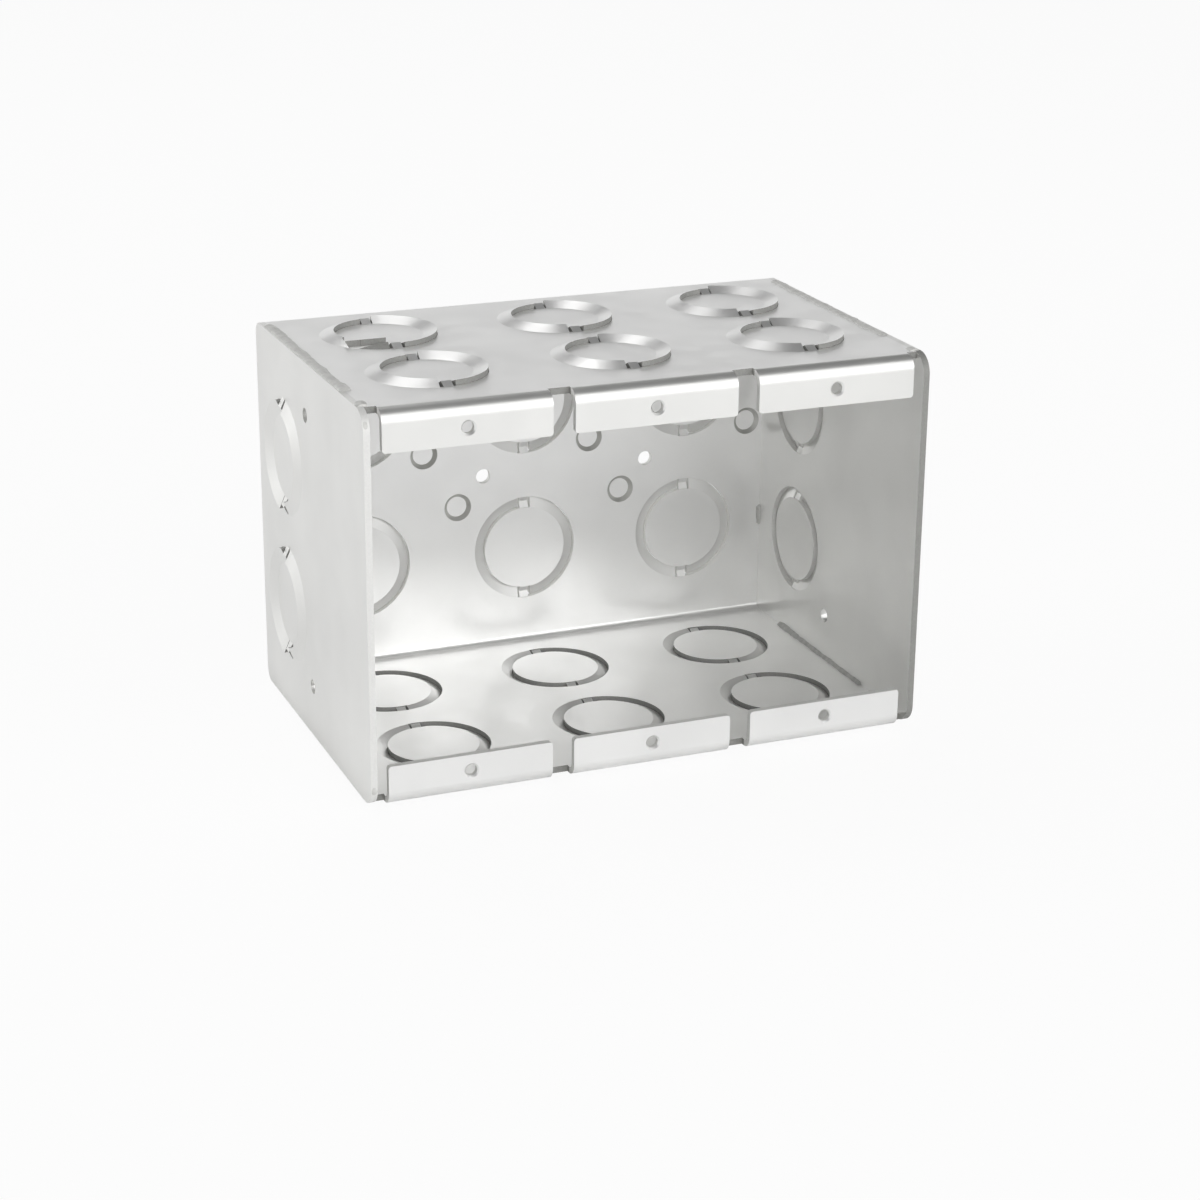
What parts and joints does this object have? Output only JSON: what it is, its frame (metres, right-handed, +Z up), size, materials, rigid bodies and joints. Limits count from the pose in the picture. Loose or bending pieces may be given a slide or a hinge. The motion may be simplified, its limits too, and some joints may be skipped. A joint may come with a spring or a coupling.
{
  "type": "flush back box",
  "caption": "Deep welded sheet-steel flush back box for wiring devices, open at the front, with folded screw tabs and round knockouts.",
  "frame": {"origin": "centre of the footprint, at the foot of the pressed knockout rings in the base", "axes": "+X along the width, +Y into the depth with the open front at -Y, +Z up"},
  "size_m": [0.144, 0.0902, 0.0979],
  "materials": {
    "galvanised_trough": "bright galvanised steel sheet, satin",
    "galvanised_plate": "bright galvanised steel sheet, satin, with dull weld beads"
  },
  "bodies": {
    "root": {"trough": "galvanised_trough", "left_end_plate": "galvanised_plate", "right_end_plate": "galvanised_plate"}
  },
  "joints": []
}
